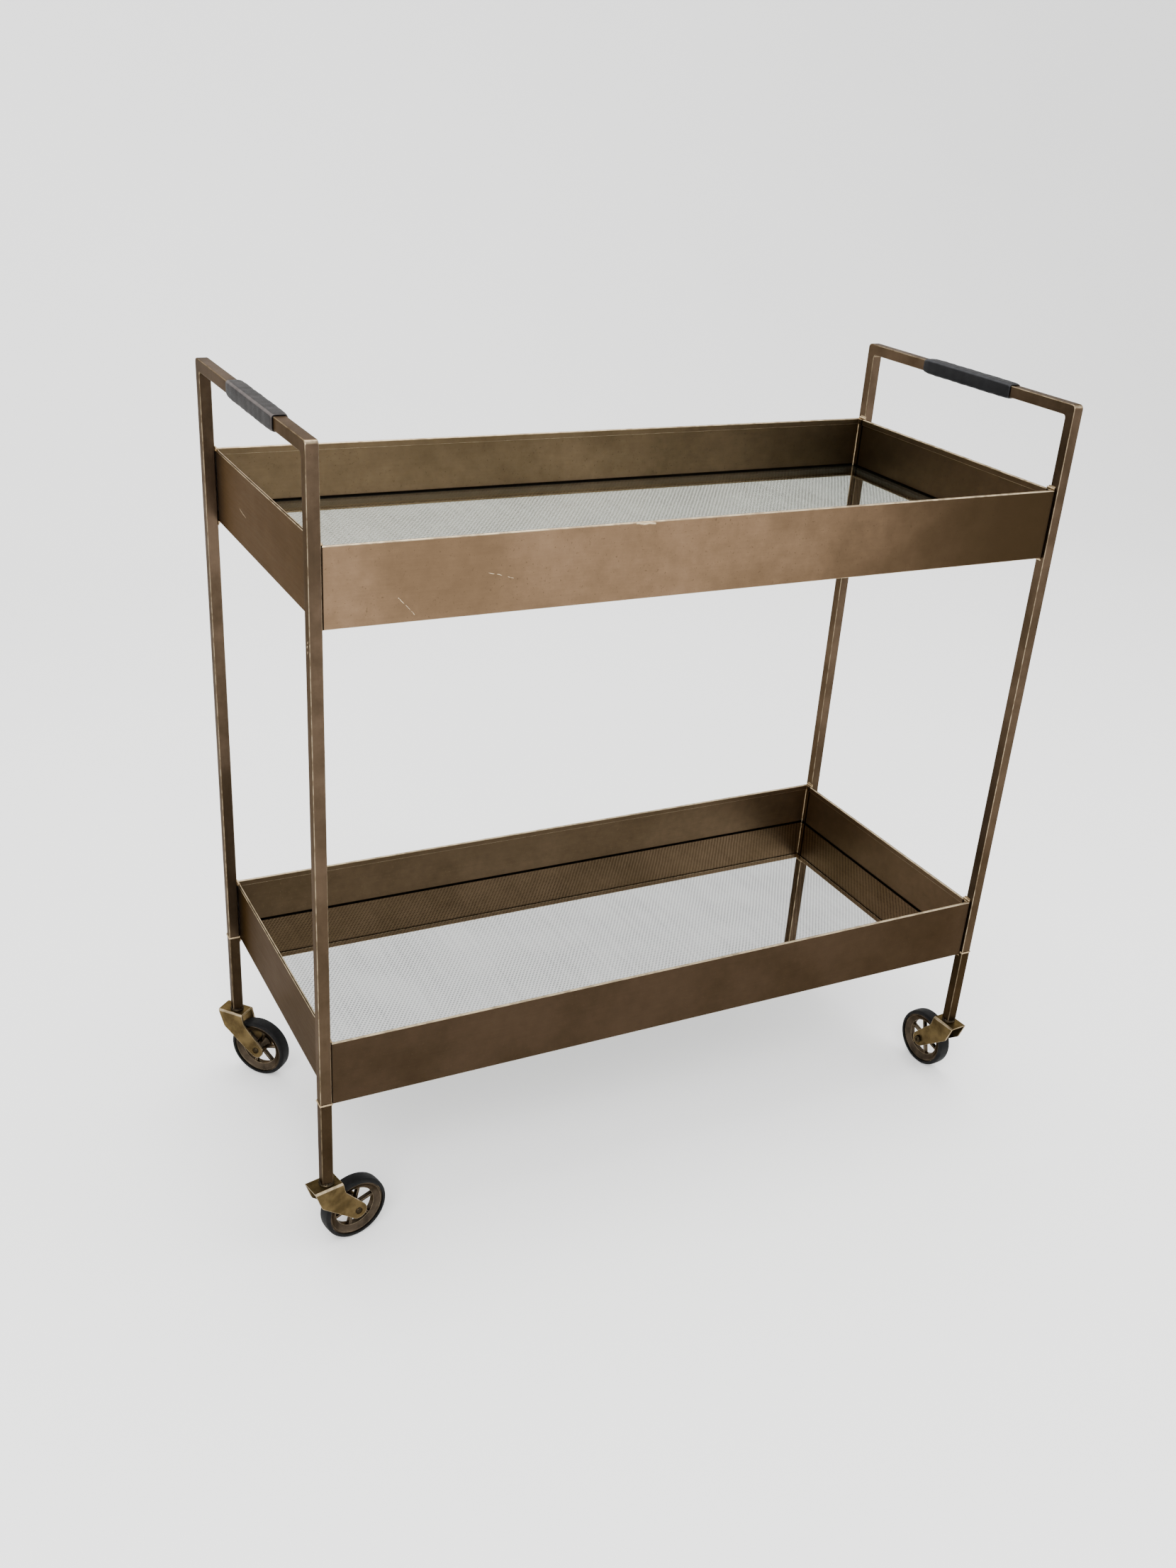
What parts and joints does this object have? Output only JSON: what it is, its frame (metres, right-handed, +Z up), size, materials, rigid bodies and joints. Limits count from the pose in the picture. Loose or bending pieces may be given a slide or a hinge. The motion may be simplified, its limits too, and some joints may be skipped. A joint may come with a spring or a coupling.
{
  "type": "bar cart",
  "caption": "Rolling bar cart: inverted-U square tube end frames with leather-sleeved handle bars, deep sheet trays with a clear glass panel above and a mirror below, swivel casters.",
  "frame": {"origin": "centre of the cart's footprint on the floor", "axes": "+X along the cart from the left to the right handle, +Y from the front to the rear, +Z up"},
  "size_m": [0.896, 0.4047, 0.8854],
  "materials": {
    "aged_brass_tube": "antiqued brass plating, brown patina, satin",
    "aged_brass_sheet": "antiqued brass plating, brown patina, satin",
    "weld_metal": "dressed weld, brighter metal",
    "mirror_glass": "silvered float glass",
    "clear_glass": "clear float glass, polished edges",
    "grip_leather": "dark stitched leather",
    "dark_steel": "oiled dark steel",
    "fork_brass": "aged brass",
    "fastener_brass": "aged brass",
    "wheel_bronze": "cast bronze, satin",
    "tyre_rubber": "black rubber",
    "bushing_plastic": "dark bearing plastic"
  },
  "bodies": {
    "cart": {"left_end_frame": "aged_brass_tube", "right_end_frame": "aged_brass_tube", "left_grip": "grip_leather", "right_grip": "grip_leather", "upper_tray_walls": "aged_brass_sheet", "upper_tray_ledge": "aged_brass_sheet", "upper_glass": "clear_glass", "upper_tray_welds": "weld_metal", "lower_tray_walls": "aged_brass_sheet", "lower_tray_ledge": "aged_brass_sheet", "lower_mirror": "mirror_glass", "lower_tray_welds": "weld_metal", "leg_welds": "weld_metal", "leg_front_left": "aged_brass_tube", "leg_insert_front_left": "dark_steel", "caster_stem_front_left": "dark_steel", "swivel_washer_front_left": "dark_steel", "leg_rear_left": "aged_brass_tube", "leg_insert_rear_left": "dark_steel", "caster_stem_rear_left": "dark_steel", "swivel_washer_rear_left": "dark_steel", "leg_front_right": "aged_brass_tube", "leg_insert_front_right": "dark_steel", "caster_stem_front_right": "dark_steel", "swivel_washer_front_right": "dark_steel", "leg_rear_right": "aged_brass_tube", "leg_insert_rear_right": "dark_steel", "caster_stem_rear_right": "dark_steel", "swivel_washer_rear_right": "dark_steel"},
    "caster_front_left": {"fork_front_left": "fork_brass", "axle_bolt_front_left": "fastener_brass", "axle_nut_front_left": "fastener_brass"},
    "rolling_wheel_front_left": {"wheel_front_left": "wheel_bronze", "tyre_front_left": "tyre_rubber", "hub_bushing_front_left": "bushing_plastic"},
    "caster_rear_left": {"fork_rear_left": "fork_brass", "axle_bolt_rear_left": "fastener_brass", "axle_nut_rear_left": "fastener_brass"},
    "rolling_wheel_rear_left": {"wheel_rear_left": "wheel_bronze", "tyre_rear_left": "tyre_rubber", "hub_bushing_rear_left": "bushing_plastic"},
    "caster_front_right": {"fork_front_right": "fork_brass", "axle_bolt_front_right": "fastener_brass", "axle_nut_front_right": "fastener_brass"},
    "rolling_wheel_front_right": {"wheel_front_right": "wheel_bronze", "tyre_front_right": "tyre_rubber", "hub_bushing_front_right": "bushing_plastic"},
    "caster_rear_right": {"fork_rear_right": "fork_brass", "axle_bolt_rear_right": "fastener_brass", "axle_nut_rear_right": "fastener_brass"},
    "rolling_wheel_rear_right": {"wheel_rear_right": "wheel_bronze", "tyre_rear_right": "tyre_rubber", "hub_bushing_rear_right": "bushing_plastic"}
  },
  "joints": [
    {"name": "swivel_front_left", "type": "hinge", "parent": "cart", "child": "caster_front_left", "pos_m": [-0.42565, -0.18065, 0.0837], "axis": [0, 0, 1], "continuous": true},
    {"name": "roll_front_left", "type": "hinge", "parent": "caster_front_left", "child": "rolling_wheel_front_left", "pos_m": [-0.39337, -0.17379, 0.038], "axis": [0.2079, -0.9781, 0], "continuous": true},
    {"name": "swivel_rear_left", "type": "hinge", "parent": "cart", "child": "caster_rear_left", "pos_m": [-0.42565, 0.18065, 0.0837], "axis": [0, 0, 1], "continuous": true},
    {"name": "roll_rear_left", "type": "hinge", "parent": "caster_rear_left", "child": "rolling_wheel_rear_left", "pos_m": [-0.404, 0.15574, 0.038], "axis": [-0.7547, -0.6561, 0], "continuous": true},
    {"name": "swivel_front_right", "type": "hinge", "parent": "cart", "child": "caster_front_right", "pos_m": [0.42565, -0.18065, 0.0837], "axis": [0, 0, 1], "continuous": true},
    {"name": "roll_front_right", "type": "hinge", "parent": "caster_front_right", "child": "rolling_wheel_front_right", "pos_m": [0.42277, -0.14778, 0.038], "axis": [0.9962, 0.0872, 0], "continuous": true},
    {"name": "swivel_rear_right", "type": "hinge", "parent": "cart", "child": "caster_rear_right", "pos_m": [0.42565, 0.18065, 0.0837], "axis": [0, 0, 1], "continuous": true},
    {"name": "roll_rear_right", "type": "hinge", "parent": "caster_rear_right", "child": "rolling_wheel_rear_right", "pos_m": [0.39574, 0.1667, 0.038], "axis": [-0.4226, 0.9063, 0], "continuous": true}
  ]
}
